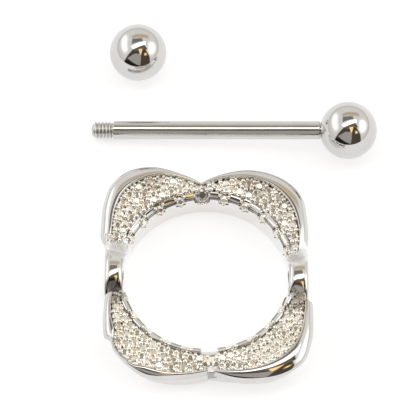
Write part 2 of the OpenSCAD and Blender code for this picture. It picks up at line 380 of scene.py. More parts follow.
def girdle_z(angle, radius):
    """Height of the stones' girdles over the bed."""
    out_z = petal_value(angle, CREST_Z) - BED_DROP + STONE_LIFT
    share = (radius - FIELD_IN_R) / (bed_out_r(angle) - FIELD_IN_R)
    return FIELD_IN_Z + (out_z - FIELD_IN_Z) * share


def on_rail(turn):
    """A point on the rail's section, by its turn about the rail's middle."""
    t = math.radians(turn)
    cut = RAIL_FLATTER * max(math.cos(t - RAIL_FACE) - RAIL_FACE_START, 0)
    return (
        RAIL_R + RAIL_ROUND * (math.cos(t) - cut * math.cos(RAIL_FACE)),
        RAIL_Z + RAIL_ROUND * (math.sin(t) - cut * math.sin(RAIL_FACE)),
    )


def corner_share(angle):
    """How much an angle belongs to the front left corner."""
    return max(0, 1 - ((angle % 360 - CORNER_AT) / CORNER_HALF) ** 2)


def petal_point(angle, part, share):
    """A point on a petal's section, by the part of the section and the share along it."""
    field = petal_value(angle, FIELD_R)
    width = petal_value(angle, RIM_R) - field
    crest = petal_value(angle, CREST_Z)
    corner = corner_share(angle)
    foot = field + width - FOOT_INSET * limited(width / FOOT_FULL_W) - CORNER_INSET * corner
    drop = RIM_DROP * (1 - CORNER_THINNER * corner)
    edge_z = crest - drop

    def rim_point(t):
        narrow = limited((RIM_WIDE - width) / RIM_NARROWING)
        across = math.sin(RIM_SLOPE * t) / math.sin(RIM_SLOPE)
        down = (1 - math.cos(RIM_SLOPE * t)) / (1 - math.cos(RIM_SLOPE))
        return (field + width * across ** (1 - NARROW_RIM_FLATTER * narrow), crest - drop * down)

    wall_top = (OPENING_R, LEDGE_Z - LEDGE_EDGE)
    ledge_in = (OPENING_R + LEDGE_EDGE, LEDGE_Z)
    bed_out = (field - BEVEL_W, crest - BED_DROP)
    bevel_top = (field - BEVEL_TOP_W, crest - BEVEL_TOP_DROP)
    under_rim = (field + width - UNDER_RIM_IN, edge_z - UNDER_RIM_DROP)
    side = (foot, edge_z / 2)
    straight = {
        "inner wall": ((OPENING_R, 0), wall_top),
        "bed": ((FIELD_IN_R, FIELD_IN_Z - STONE_LIFT), bed_out),
        "bevel": (bed_out, bevel_top),
        "under the rim": (rim_point(1), under_rim),
        "outer side": (under_rim, side),
        "foot": (side, (foot, 0)),
    }
    if part in straight:
        return between(*straight[part], share)
    if part in RAIL_PARTS:
        return on_rail(past(RAIL_ARC, RAIL_PARTS.index(part), share))
    if part in RIM_PARTS:
        return rim_point(past(RIM_STEPS, RIM_PARTS.index(part), share))
    if part == "ledge" and share <= 0.5:
        return between(wall_top, ledge_in, 2 * share)
    if part == "ledge":
        return between(ledge_in, on_rail(RAIL_ARC[0]), 2 * share - 1)
    top = (field - BEVEL_TOP_W / 2, crest + CREST_ROUND)
    first = between(bevel_top, top, share)
    last = between(top, rim_point(RIM_STEPS[0]), share)
    return between(first, last, share)


def band_along(angle):
    """Distance along a plain band from its highest point, towards the back."""
    right = math.cos(math.radians(angle)) > 0
    out = RIGHT_OUT if right else -LEFT_OUT
    return out * math.tan(math.radians(angle)) - (RIGHT_APEX if right else LEFT_APEX)


def band_height(angle):
    """Height of a plain band's top along its arch."""
    along = band_along(angle)
    fall = BAND_ARCH_R - math.sqrt(max(BAND_ARCH_R**2 - along**2, 0))
    return max(BAND_LOW, BAND_TOP - fall)


def band_point(angle, place):
    """A point on a plain band's section, by its place from 0 to the number of parts."""
    cosine = math.cos(math.radians(angle))
    straight = 1 / max(abs(cosine), LEAST_COSINE)
    out = (RIGHT_OUT if cosine > 0 else LEFT_OUT) * min(straight, BAND_WIDEST)
    inner = OPENING_R + BAND_EDGE
    side_top = band_height(angle) - BAND_ROUND
    foot = out - BAND_FOOT_INSET
    if place < CROWN_START:
        points = ((OPENING_R, 0), (OPENING_R, side_top - BAND_INNER_SIDE), (inner, side_top))
        index = min(int(place), 1)
        return between(points[index], points[index + 1], place - index)
    if place <= CROWN_END:
        turn = math.pi * (place - CROWN_START) / (CROWN_END - CROWN_START)
        fuller = BAND_FRONT_CROWN * limited(-band_along(angle) / BAND_FRONT_LEN)
        power = 2 / (BAND_CROWN + fuller)
        across = math.copysign(abs(math.cos(turn)) ** power, math.cos(turn))
        rise = max(math.sin(turn), 0) ** power
        return ((inner + out) / 2 - (out - inner) / 2 * across, side_top + BAND_ROUND * rise)
    points = ((out, side_top), (out, side_top - BAND_OUTER_SIDE), (foot, BAND_FOOT_H), (foot, 0))
    index = min(int(place - CROWN_END), 2)
    return between(points[index], points[index + 1], place - CROWN_END - index)


def seat_distance(angle):
    """Degrees from an angle to the nearest seat's middle."""
    return abs((angle - SEAT_START + SEAT_PITCH / 2) % SEAT_PITCH - SEAT_PITCH / 2)


def seat_halves(angle):
    """Half of the angle of the nearest seat, at full width and where the bars start."""
    if abs(angle % 180 - BACK_NOTCH) < SEAT_PITCH / 2:
        return NOTCH_SEAT_FLAT, NOTCH_SEAT_EDGE
    return SEAT_FLAT, SEAT_EDGE


def section_point(angle, number, share):
    """A point on the ring's section: a part of SECTION_STEPS and the share along it."""
    whole = petal_share(angle)
    whole = whole * whole * (3 - 2 * whole)
    petal = petal_point(angle, SECTION_STEPS[number][0], share)
    flat, edge = seat_halves(angle)
    seat = limited((edge - seat_distance(angle)) / (edge - flat))
    if seat > 0 and number < len(SEAT_SECTION) - 1:
        seat_point = between(SEAT_SECTION[number], SEAT_SECTION[number + 1], share)
        petal = between(petal, seat_point, seat)
    if whole == 1:
        return petal
    return between(band_point(angle, number + share), petal, whole)


def in_ring(angle, radius, height=0.0):
    """A point of the ring in the frame."""
    return RING_AT + Vector(around(angle, radius, height))


def ring_place(angle, radius, height, tilt=0.0):
    """Where a stone or bead stands: its z axis leans towards the opening by the tilt."""
    return (
        Matrix.Translation(in_ring(angle, radius, height))
        @ Matrix.Rotation(math.radians(angle), 4, "Z")
        @ Matrix.Rotation(math.radians(-tilt), 4, "Y")
    )


def on_bed(angle, radius, lift=0.0):
    """Where a stone or bead stands on the bed's slope, from the height of the girdles."""
    rise = girdle_z(angle, FIELD_IN_R + 1) - girdle_z(angle, FIELD_IN_R)
    slope = math.degrees(math.atan(rise))
    return ring_place(angle, radius, girdle_z(angle, radius) + lift, slope)


class Shape:
    """Points and faces of one piece, in millimetres."""

    def __init__(self):
        self.points = []
        self.faces = []

    def add(self, points, faces, place=Matrix.Identity(4)):
        """Adds a form, moved to its place."""
        start = len(self.points)
        self.points.extend(place @ Vector(p) for p in points)
        self.faces.extend([i + start for i in face] for face in faces)

    def loft(self, rings, place=Matrix.Identity(4), closed=False, capped=False):
        """Joins each ring of points to the next, and the last to the first if closed.

        A ring of one point is a tip. Capped, the first and the last ring are faces.
        """
        sides = max(len(ring) for ring in rings)
        points = []
        corners = []
        for ring in rings:
            corners.append([len(points) + k % len(ring) for k in range(sides)])
            points.extend(ring)
        faces = [corners[0][::-1], corners[-1]] if capped else []
        following = corners[1:] + (corners[:1] if closed else [])
        for low, high in zip(corners, following):
            for k in range(sides):
                n = (k + 1) % sides
                face = [low[k], low[n], high[n], high[k]]
                faces.append([c for i, c in enumerate(face) if c != face[i - 1]])
        self.add(points, faces, place)

    def lathe(self, outline, sides, place=Matrix.Identity(4), size=1.0):
        """Turns an outline of radius and height rows, from below to above, about z."""
        self.loft([circle(r * size, height * size, sides) for r, height in outline], place)

    def thing(self, name):
        """Makes the Blender object."""
        mesh = bpy.data.meshes.new(name)
        mesh.from_pydata([tuple(p * MM) for p in self.points], [], self.faces)
        thing = bpy.data.objects.new(name, mesh)
        bpy.context.scene.collection.objects.link(thing)
        return thing

    def piece(self, name, sharp, slot, finish, *replaced):
        """Makes a piece of the model, smooth but for edges sharper than an angle."""
        thing = self.thing(name)
        mark_sharp(thing.data, sharp)
        thing.data.materials.append(bpy.data.materials[finish])
        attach(thing, BODY)
        if replaced:
            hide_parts(*replaced)
        return thing


def mark_sharp(mesh, sharp):
    """Shades a mesh smooth, with hard edges where faces meet sharply."""
    shape = bmesh.new()
    shape.from_mesh(mesh)
    for face in shape.faces:
        face.smooth = True
    for edge in shape.edges:
        edge.smooth = len(edge.link_faces) == 2 and edge.calc_face_angle() < sharp
    shape.to_mesh(mesh)
    shape.free()


def drill(thing, tool):
    """Cuts a tool's form out of a piece, and removes the tool."""
    cut = thing.modifiers.new("drill", "BOOLEAN")
    cut.object = tool
    cut.operation = "DIFFERENCE"
    cut.solver = "EXACT"
    graph = bpy.context.evaluated_depsgraph_get()
    drilled = bpy.data.meshes.new_from_object(thing.evaluated_get(graph))
    thing.modifiers.remove(cut)
    if len(drilled.polygons) <= len(thing.data.polygons) // 2:
        raise RuntimeError(f"drilling {thing.name} lost most of its faces")
    thing.data = drilled
    bpy.data.objects.remove(tool)


def bar_hole_tool():
    """The round rod that cuts the holes for the bar."""
    reach = BAR_HOLE_REACH
    outline = [(0, -reach), (BAR_HOLE_R, -reach), (BAR_HOLE_R, reach), (0, reach)]
    place = Matrix.Translation(in_ring(0, 0, BAR_HOLE_Z)) @ Matrix.Rotation(math.pi / 2, 4, "Y")
    rod = Shape()
    rod.lathe(outline, BAR_HOLE_SIDES, place)
    return rod.thing("rod")


def ring_angles():
    """The angles of the ring's sections: even steps, and the ends of each bar and ramp."""
    steps = round(360 / RING_STEP)
    angles = {round(360 * k / steps, ANGLE_DIGITS) for k in range(steps)}
    for k in range(360 // SEAT_PITCH):
        middle = SEAT_START + k * SEAT_PITCH
        flat, edge = seat_halves(middle)
        edges = (flat, (flat + edge) / 2, edge)
        for turn in (*edges, *(-edge for edge in edges)):
            angles.add(round(middle + turn, ANGLE_DIGITS) % 360)
    for ramp in PETAL_RAMPS:
        ends = sorted(ramp)
        for k in range(RAMP_STEPS + 1):
            angles.add(round(past(ends, 0, k / RAMP_STEPS), ANGLE_DIGITS))
    return sorted(angles)


def ring_shape():
    """The casting's skin, swept through its sections."""
    row = [(n, k / steps) for n, (_, steps) in enumerate(SECTION_STEPS) for k in range(steps)]
    row.append((len(SECTION_STEPS) - 1, 1.0))
    shape = Shape()
    sections = [[in_ring(a, *section_point(a, *at)) for at in row] for a in ring_angles()]
    shape.loft(sections, closed=True)
    return shape


# A seat's cup, a holding bead and a round bead, from below. Columns: radius and height, as
# shares of the stone's or bead's radius
CUP_OUTLINE = (
    (0, -1.0),
    (0.6, -0.95),
    (0.95, -0.4),
    (1.1, -0.1),
    (1.1, 0.04),
    (1.03, 0.08),
    (0.97, -0.02),
)
BEAD_OUTLINE = (
    (0.9, -1.5),
    (0.86, -0.6),
    (1, -0.1),
    (0.95, 0.3),
    (0.75, 0.66),
    (0.42, 0.9),
    (0, 1),
)
PRONG_OUTLINE = ((0, -1), (0.5, -0.87), (0.87, -0.5), (1, 0), (0.87, 0.5), (0.5, 0.87), (0, 1))
# The collar round a stone: radius as a share of the stone's, and height
COLLAR = ((0.8, -STONE_LIFT), (1.05, -0.1), (1.08, -0.03), (0.97, -0.02))
CUP_SIDES = 20
COLLAR_SIDES = 16
BEAD_SIDES = 10
BEAD_SINK = 0.04

# Beads of a seat: how far up the bed, to the side and off it, and size
SEAT_PRONGS = (
    (-0.5, 0.0, -0.19, 0.18),
    (-0.3, 0.0, -0.03, 0.13),
    (-0.2, 0.36, -0.04, 0.12),
    (-0.2, -0.36, -0.04, 0.12),
    (0.36, 0.4, 0.05, 0.17),
    (0.36, -0.4, 0.05, 0.17),
)
NOTCH_PRONGS = (
    (-0.96, -0.02, -0.29, 0.18),
    (-0.92, 0.3, -0.29, 0.17),
    (-0.92, -0.34, -0.29, 0.17),
    (-0.6, 0.14, -0.2, 0.13),
    (-0.6, -0.18, -0.2, 0.13),
    (0.45, 0.45, 0.0, 0.2),
    (0.45, -0.45, 0.0, 0.2),
    (-0.05, 0.66, 0.0, 0.15),
    (-0.05, -0.66, 0.0, 0.15),
)

# The spots tried for small stones and beads: from one to the next, how far each is moved by
# chance as a share of that, the reach of the last, and how far they may overlap the bed's
# edge, the bevel and the rail
SPOT_STEP = 0.07
SPOT_SHIFT = 0.3
SPOTS_OUT_R = 12
SPOT_PAST_BED = 0.02
BEVEL_OVERLAP = 0.05
RAIL_OVERLAP = 0.02

# Beads on the petals' ends: how far up each slope, and the last part of the section
# that they cover, from the bed outwards
RAMP_BEADS = (
    ((1.0,), "bed"),
    ((0.6, 0.8, 1.0), "rim near the crest"),
    ((0.75, 0.95), "bed"),
    ((0.1, 0.3, 0.5, 0.7, 0.85, 1.0), "crest"),
)
RAMP_BEAD_PITCH = 0.3
RAMP_BEAD_SHIFT = 0.3
RAMP_BEAD_SIZES = (0.12, 0.17)


def seats(stone_r):
    """The seats in the petals: angle, place, size of the stone, and their beads."""
    found = []
    for k in range(360 // SEAT_PITCH):
        a = SEAT_START + k * SEAT_PITCH
        if a == BACK_NOTCH:
            place = ring_place(a, NOTCH_STONE_R, NOTCH_STONE_Z, NOTCH_STONE_TILT)
            found.append((a, place, NOTCH_STONE_SIZE, NOTCH_PRONGS))
        elif a != FRONT_NOTCH and well_inside(a):
            found.append((a, ring_place(a, SEAT_R, SEAT_Z, SEAT_TILT), stone_r, SEAT_PRONGS))
    return found


def field_stones(stone_r):
    """The stones of the model's own rows: angle, radius, size."""
    pitch = 360 / RIM_ROW_COUNT

    def rim_row_size(a):
        return min(stone_r, (bed_out_r(a) - FIELD_IN_R) / 2 - STONE_MARGIN)

    def rim_row_r(a):
        return bed_out_r(a) - STONE_MARGIN - rim_row_size(a)

    def apart(a, r, b):
        return (Vector(around(b, rim_row_r(b))) - Vector(around(a, r))).length - rim_row_size(b)

    def clear(a, r):
        near = [(math.floor(a / pitch) + k) * pitch for k in (-1, 0, 1, 2)]
        return min(apart(a, r, b) for b in near) >= stone_r + STONE_GAP and rim_row_r(a) > r

    stones = []
    for radius, count, turn in FIELD_ROWS:
        for k in range(count):
            a = turn + k * 360 / count
            if well_inside(a) and clear(a, radius):
                stones.append((a, radius, stone_r))
    for k in range(RIM_ROW_COUNT):
        a = k * pitch
        if well_inside(a) and rim_row_size(a) > SMALLEST_STONE:
            stones.append((a, rim_row_r(a), rim_row_size(a)))
    return stones


def ramp_distance(angle, radius):
    """Distance along the ring from a point of a petal to its nearer end."""
    high = PETAL_RAMPS[petal_number(angle % 360)][1]
    return abs(math.radians(angle % 360 - high)) * radius


def spots_to_fill(chance):
    """Places all over the beds, in rings, each a little moved by chance: angle and radius."""
    spots = []
    radius = FIELD_IN_R
    while radius < SPOTS_OUT_R:
        turn = math.degrees(SPOT_STEP / radius)
        for k in range(int(360 / turn)):
            a = k * turn + chance.uniform(-SPOT_SHIFT, SPOT_SHIFT) * turn
            r = radius + chance.uniform(-SPOT_SHIFT, SPOT_SHIFT) * SPOT_STEP
            if petal_share(a) == 1 and r < bed_out_r(a) + SPOT_PAST_BED:
                spots.append((a, r))
        radius += SPOT_STEP
    return spots


def fill_gaps(stones, sizes):
    """Small stones and beads in the gaps between the rows, the widest gap first."""
    spots = spots_to_fill(random.Random(sizes.seed))
    flat = np.array([around(*spot)[:2] for spot in spots])
    reach = np.array([r for _, r in spots])
    out = np.array([bed_out_r(a) for a, _ in spots])
    gap = np.minimum(out - reach + BEVEL_OVERLAP, reach - FIELD_IN_R + RAIL_OVERLAP)
    gap = np.minimum(gap, [ramp_distance(*spot) for spot in spots])
    notch = (BACK_NOTCH, NOTCH_STONE_R, NOTCH_STONE_SIZE + STONE_MARGIN)
    hollow = (FRONT_NOTCH, HOLLOW_R, HOLLOW_SIZE)
    for a, r, size in stones + [notch, hollow]:
        gap = np.minimum(gap, np.hypot(*(flat - around(a, r)[:2]).T) - size)
    small, beads = [], []
    while True:
        best = int(np.argmax(gap))
        room = float(gap[best])
        if room < sizes.smallest_gap / MM:
            return small, beads
        if room >= sizes.fill_stone / MM:
            size = min(room, sizes.stone / MM)
            small.append((*spots[best], size))
        else:
            size = min(room + sizes.bead_overlap / MM, sizes.largest_bead / MM)
            beads.append((*spots[best], size))
        gap = np.minimum(gap, np.hypot(*(flat - flat[best]).T) - size)


def ramp_spots(chance):
    """Places of beads on the ends of the petals: angle, radius and height."""
    spots = []
    for ramp, (levels, last) in zip(PETAL_RAMPS, RAMP_BEADS):
        for level in levels:
            angle = past(ramp, 0, level)
            for number in range(PART_NAMES.index("bed"), PART_NAMES.index(last) + 1):
                start, end = (Vector(section_point(angle, number, share)) for share in (0, 1))
                count = max(round((end - start).length / RAMP_BEAD_PITCH), 1)
                for k in range(count):
                    shift = chance.uniform(-RAMP_BEAD_SHIFT, RAMP_BEAD_SHIFT)
                    share = limited((k + 0.5 + shift) / count)
                    spots.append((angle, *section_point(angle, number, share)))
    return spots


def by_chance(chance, lean):
    """A turn about a stone's axis, and a lean up to a limit."""
    turn = Matrix.Rotation(chance.uniform(0, math.tau), 4, "Z")
    sideways = Matrix.Rotation(chance.uniform(-lean, lean), 4, "X")
    return turn @ sideways @ Matrix.Rotation(chance.uniform(-lean, lean), 4, "Y")


def seat_cups(sizes):
    """The cup and beads of each seat in the inner wall, and the front notch's apron."""
    cups = Shape()
    for _, place, stone, prongs in seats(sizes.seat_stone / MM):
        cups.lathe(CUP_OUTLINE, CUP_SIDES, place, stone)
        for *at, size in prongs:
            cups.lathe(PRONG_OUTLINE, BEAD_SIDES, place @ Matrix.Translation(at), size)
    cups.loft(notch_apron(), capped=True)
    return cups


def notch_apron():
    """Rings of corners of the small apron that carries the front notch's seat on."""
    top = [
        in_ring(FRONT_NOTCH - APRON_IN_HALF, *APRON_IN),
        in_ring(FRONT_NOTCH - APRON_TIP_HALF, *APRON_TIP),
        in_ring(FRONT_NOTCH + APRON_TIP_HALF, *APRON_TIP),
        in_ring(FRONT_NOTCH + APRON_IN_HALF, *APRON_IN),
    ]
    return [[corner - Vector((0, 0, APRON_DEPTH)) for corner in top], top]


def notch_plate():
    """The small flat plate that stands where the two front petals meet."""
    half_h = (NOTCH_PLATE_TOP - NOTCH_PLATE_LOW) / 2
    rings = []
    for inset, depth in ((0, NOTCH_PLATE_DEPTH), (0, NOTCH_PLATE_EDGE), (NOTCH_PLATE_EDGE, 0)):
        w = NOTCH_PLATE_W / 2 - inset
        low = inset - half_h
        top = half_h - inset + depth / NOTCH_PLATE_DEPTH * NOTCH_PLATE_RISE
        rings.append([(-depth, -w, low), (-depth, w, low), (-depth, w, top), (-depth, -w, top)])
    plate = Shape()
    middle = NOTCH_PLATE_LOW + half_h
    plate.loft(rings, ring_place(NOTCH_PLATE_AT, NOTCH_PLATE_OUT, middle), capped=True)
    return plate


def holding_beads(sizes):
    """The beads on the beds, in the front notch and on the petals' ends, and the collars."""
    beads = Shape()
    rows = field_stones(sizes.stone / MM)
    small, spots = fill_gaps(rows, sizes)
    for angle, radius, size in spots:
        beads.lathe(BEAD_OUTLINE, BEAD_SIDES, on_bed(angle, radius, -BEAD_SINK), size)
    *spot, size = HOLLOW_BEAD
    beads.lathe(PRONG_OUTLINE, BEAD_SIDES, ring_place(*spot), size)
    chance = random.Random(sizes.seed + 1)
    for spot in ramp_spots(chance):
        size = chance.uniform(*RAMP_BEAD_SIZES)
        beads.lathe(PRONG_OUTLINE, BEAD_SIDES, ring_place(*spot), size)
    for angle, radius, size in rows + small:
        collar = [(size * share, height) for share, height in COLLAR]
        beads.lathe(collar, COLLAR_SIDES, on_bed(angle, radius))
    return beads


# A round brilliant's rings of points, from the table down. Columns: radius and height as
# shares of the girdle's radius, points, turn of the first
STONE_RINGS = (
    (0.56, 0.34, 8, 0),
    (0.80, 0.19, 8, 22.5),
    (1.0, 0.0, 16, 0),
    (1.0, -0.05, 16, 0),
    (0.55, -0.27, 8, 22.5),
)
STONE_TIP = -0.52


def cut_stone(shape, place, r):
    """A round brilliant: table, star and kite facets, girdle, and eight lower facets."""
    points = []
    starts = []
    for radius, height, count, turn in STONE_RINGS:
        starts.append(len(points))
        points += circle(r * radius, r * height, count, turn)
    table, kite, top, low, under = starts
    tip = len(points)
    points.append((0, 0, STONE_TIP * r))
    faces = [[table + k for k in range(8)]]
    for k in range(8):
        n = (k + 1) % 8
        before = (k - 1) % 8
        a, b, c = 2 * k, 2 * k + 1, (2 * k + 2) % 16
        faces.append([table + k, kite + k, table + n])
        faces.append([table + k, kite + before, top + a, kite + k])
        faces.append([kite + k, top + a, top + b])
        faces.append([kite + k, top + b, top + c])
        faces.append([under + k, low + b, low + a])
        faces.append([under + k, low + c, low + b])
        faces.append([under + before, under + k, low + a])
        faces.append([under + before, tip, under + k])
    for k in range(16):
        n = (k + 1) % 16
        faces.append([top + k, low + k, low + n, top + n])
    shape.add(points, faces, place)


# Sizes of the barbell. The thread that shows winds with a pitch of its own.
BAR_R = 0.8
BAR_LEN = 18.0
BALL_R = 2.5
THREAD_LEN = 1.9
THREAD_PITCH = 0.35
THREAD_R = BAR_R - 0.03
THREAD_DEPTH = 0.19
THREAD_ROOT = THREAD_R - THREAD_DEPTH
WIND_PITCH = 0.31
NECK_LEN = 0.15
TIP_LEN = 0.25
TIP_TAPER = 0.15
CREST_MID = 0.45
CRESTS = 4
BAR_START = 0.05
BAR_EDGE = 0.05
STUB_R = 0.62
STUB_LOW = 1.1
HOLE_GAP = 0.03
HOLE_LOW = 0.9
BALL_FLAT = 2.37
TAP_R = 0.66
TAP_LEN = 3.0
TAP_TIP = 0.1
TAP_EDGE = 0.04
FOOT_FLAT_R = 0.95
FLAT_EDGE = 0.02
BAR_SIDES = 96
BAR_RINGS = 12
THREAD_ROWS = 88
BALL_SIDES = 128
BALL_ROWS = 64
# The thread's ridge: where it starts and ends along the thread, how long it takes to rise
# and to fall there, and how full it is, 1 for a plain wave
RIDGE_START = NECK_LEN * 0.4
RIDGE_END = THREAD_LEN - TIP_LEN * 0.5
RIDGE_RISE = WIND_PITCH * 0.4
RIDGE_FALL = WIND_PITCH * 0.6
RIDGE_POWER = 0.7
# The bar's rounded edge, as shares of its size: inwards, and along the bar
BAR_EDGE_ROWS = ((1, 0), (0.3, 0.3), (0, 1), (0, 1.5))


def bar_place():
    """The barbell's place: the ball's middle at the origin, and z along the bar."""
    last_crest = NECK_LEN + (CRESTS - 1 + CREST_MID) * THREAD_PITCH
    lean = math.asin((BALL_R - THREAD_R) / (BALL_R + BAR_LEN + last_crest))
    return (
        Matrix.Translation(FIXED_BALL_AT)
        @ Matrix.Rotation(math.radians(BAR_TURN), 4, "Z")
        @ Matrix.Rotation(-lean, 4, "Y")
        @ Matrix.Rotation(math.radians(-90), 4, "Y")
    )


def thread_radius(turn, along):
    """Radius of the thread, whose one ridge winds round the root and fades at its ends."""
    phase = ((along - NECK_LEN) / WIND_PITCH - turn / 360) % 1
    ridge = 0.5 - 0.5 * math.cos(math.tau * phase)
    start = limited((along - RIDGE_START) / RIDGE_RISE)
    end = limited((RIDGE_END - along) / RIDGE_FALL)
    taper = TIP_TAPER * limited((along - THREAD_LEN + TIP_LEN) / TIP_LEN) ** 2
    return THREAD_ROOT + THREAD_DEPTH * ridge**RIDGE_POWER * start * end - taper


def bar_shape():
    """The turned bar with its stub and its screw thread."""
    foot = BALL_R - BAR_START
    shoulder = BALL_R + BAR_LEN
    outline = [(0, STUB_LOW), (STUB_R, STUB_LOW), (STUB_R, foot)]
    outline += [(BAR_R - BAR_EDGE * i, foot + BAR_EDGE * a) for i, a in BAR_EDGE_ROWS]
    outline += [(BAR_R, BALL_R + BAR_LEN * k / BAR_RINGS) for k in range(1, BAR_RINGS)]
    outline += [(BAR_R - BAR_EDGE * i, shoulder - BAR_EDGE * a) for i, a in BAR_EDGE_ROWS[::-1]]
    outline.append((THREAD_ROOT, shoulder))
    rings = []
    for j in range(THREAD_ROWS + 1):
        along = THREAD_LEN * j / THREAD_ROWS
        turns = [360 * k / BAR_SIDES for k in range(BAR_SIDES)]
        rings.append([around(t, thread_radius(t, along), shoulder + along) for t in turns])
    rings.append([(0, 0, shoulder + THREAD_LEN)])
    shape = Shape()
    shape.lathe(outline, BAR_SIDES, bar_place())
    shape.loft(rings, bar_place())
    return shape


def ball_arc(start_r, end_r):
    """The round of a ball: from a radius near its foot to a radius near its top."""
    ends = (math.asin(start_r / BALL_R) - math.pi / 2, math.pi / 2 - math.asin(end_r / BALL_R))
    turns = [past(ends, 0, k / BALL_ROWS) for k in range(BALL_ROWS + 1)]
    return [(max(BALL_R * math.cos(t), 0), BALL_R * math.sin(t)) for t in turns]


def fixed_ball_shape():
    """The ball on the bar, flat where the bar meets it, with the stub's hole."""
    hole = STUB_R + HOLE_GAP
    flat_r = math.sqrt(BALL_R**2 - BALL_FLAT**2)
    outline = [(0, -BALL_R)] + ball_arc(FLAT_EDGE, flat_r + FLAT_EDGE)
    outline += [(flat_r - FLAT_EDGE / 2, BALL_FLAT), (hole, BALL_FLAT), (hole, HOLE_LOW)]
    outline.append((0, HOLE_LOW))
    shape = Shape()
    shape.lathe(outline, BALL_SIDES, bar_place())
    return shape


def loose_ball_shape():
    """The ball that screws on, standing on the flat round its threaded hole."""
    flat_z = -math.sqrt(BALL_R**2 - FOOT_FLAT_R**2)
    outline = [
        (0, flat_z + TAP_LEN + TAP_TIP),
        (TAP_R, flat_z + TAP_LEN),
        (TAP_R, flat_z + TAP_EDGE),
        (TAP_R + TAP_EDGE, flat_z),
        (FOOT_FLAT_R - FLAT_EDGE, flat_z),
    ]
    outline += ball_arc(FOOT_FLAT_R, FLAT_EDGE) + [(0, BALL_R)]
    shape = Shape()
    shape.lathe(outline, BALL_SIDES, Matrix.Translation((*LOOSE_BALL_XY, -flat_z)))
    return shape


class NodeDesk:
    """Adds nodes to one tree and joins them."""

    def __init__(self, tree):
        self.tree = tree
        tree.nodes.clear()

    def add(self, kind, settings=None, **inputs):
        """A node with its settings, and its inputs set or linked by name."""
        node = self.tree.nodes.new(kind)
        for name, value in (settings or {}).items():
            setattr(node, name, value)
        for name, value in inputs.items():
            self.feed(node.inputs[name.replace("_", " ")], value)
        return node

    def feed(self, socket, value):
        """Links a socket to another node's output, or sets its value."""
        if isinstance(value, bpy.types.NodeSocket):
            self.tree.links.new(value, socket)
        else:
            socket.default_value = value

    def joined(self, operation, first, second):
        """Two values joined by a sum or a product."""
        node = self.add("ShaderNodeMath", {"operation": operation})
        self.feed(node.inputs[0], first)
        self.feed(node.inputs[1], second)
        return node.outputs[0]

    def dot(self, direction, vector):
        """How far a direction points along a vector."""
        node = self.add("ShaderNodeVectorMath", {"operation": "DOT_PRODUCT"})
        self.feed(node.inputs[0], direction)
        self.feed(node.inputs[1], tuple(vector))
        return node.outputs["Value"]

    def spread(self, value, low, high, to_low=0.0, to_high=1.0, smooth=False):
        """A value moved from one range to another, and kept inside it."""
        kind = "SMOOTHSTEP" if smooth else "LINEAR"
        node = self.add(
            "ShaderNodeMapRange",
            {"interpolation_type": kind, "clamp": True},
            Value=value,
            From_Min=low,
            From_Max=high,
            To_Min=to_low,
            To_Max=to_high,
        )
        return node.outputs[0]

    def mix(self, factor, first, second):
        """A colour between two others."""
        node = self.add("ShaderNodeMix", {"data_type": "RGBA"}, Factor=factor, A=first, B=second)
        return node.outputs["Result"]

    def mapped(self, stretch, shift=(0, 0, 0)):
        """A point of the frame, stretched and moved."""
        place = self.add("ShaderNodeTexCoord").outputs["Object"]
        node = self.add("ShaderNodeMapping", Vector=place, Location=shift, Scale=stretch)
        return node.outputs["Vector"]

    def distance(self, point, axes):
        """Distance from a point of the frame along the axes that count, in metres."""
        away = [-at * MM * share for at, share in zip(point, axes)]
        length = self.add("ShaderNodeVectorMath", {"operation": "LENGTH"})
        self.feed(length.inputs[0], self.mapped(axes, away))
        return length.outputs["Value"]

    def noise(self, scale, detail=3.0, stretch=(1, 1, 1)):
        """Noise in the frame's own space."""
        place = self.mapped(stretch)
        node = self.add("ShaderNodeTexNoise", Vector=place, Scale=scale, Detail=detail)
        return node.outputs[0]

    def clouds(self, colour, other, scale, low, high):
        """One colour with clouds of another."""
        return self.mix(self.spread(self.noise(scale), low, high), (*colour, 1), (*other, 1))


# Where a finish takes a tone of painted light or shade: a point, the axes that count, the
# distances from it between which the change fades, the painted tone, the roughness if it
# changes too, and the scale of the spots if it comes in spots
Zone = namedtuple("Zone", "place axes near far tone rough spots", defaults=(None, None))
ACROSS = (1, 1, 0)
UPWARDS = (0, 0, 1)
ALL_ROUND = (1, 1, 1)
# Tones that paint light or shade onto a finish in its zones
PAINTED_DEEP_SHADE = (0.5, 0.46, 0.41)
SHADED = (0.74, 0.70, 0.64)
PAINTED_FLOOR_LIGHT = (0.84, 0.83, 0.81)
SATIN_PAINTED_LIGHT = (0.95, 0.96, 0.97)
PAINTED_DARK_SPECKS = (0.12, 0.11, 0.10)
PAINTED_DARK_REFLECTION = (0.22, 0.21, 0.20)
SPOT_EDGE = (0.56, 0.62)
NOTCH_STONE_AT = in_ring(BACK_NOTCH, NOTCH_STONE_R, NOTCH_STONE_Z)
# Painted shade, deep, on the first stones and beads of the front petals, which lie in the bands'
# shade
FRONT_END_PAINTED_SHADE = (
    Zone(in_ring(195.3, 8.1), ACROSS, 0.8, 1.3, PAINTED_DEEP_SHADE),
    Zone(in_ring(341.5, 8.3), ACROSS, 0.8, 1.3, PAINTED_DEEP_SHADE),
)
BACK_SHADE = (
    Zone(in_ring(62, 9.4), ACROSS, 0.7, 1.7, SHADED),
    Zone(in_ring(44, 9.6), ACROSS, 0.4, 1.3, SHADED),
    Zone(in_ring(120, 10.1), ACROSS, 0.6, 1.6, SHADED),
)
# Painted shade on the larger notch stone: deep, and in dark specks
NOTCH_SHADE = (
    Zone(NOTCH_STONE_AT, ALL_ROUND, 0.56, 0.6, PAINTED_DEEP_SHADE),
    Zone(NOTCH_STONE_AT, ALL_ROUND, 0.56, 0.6, PAINTED_DARK_SPECKS, spots=2600.0),
)
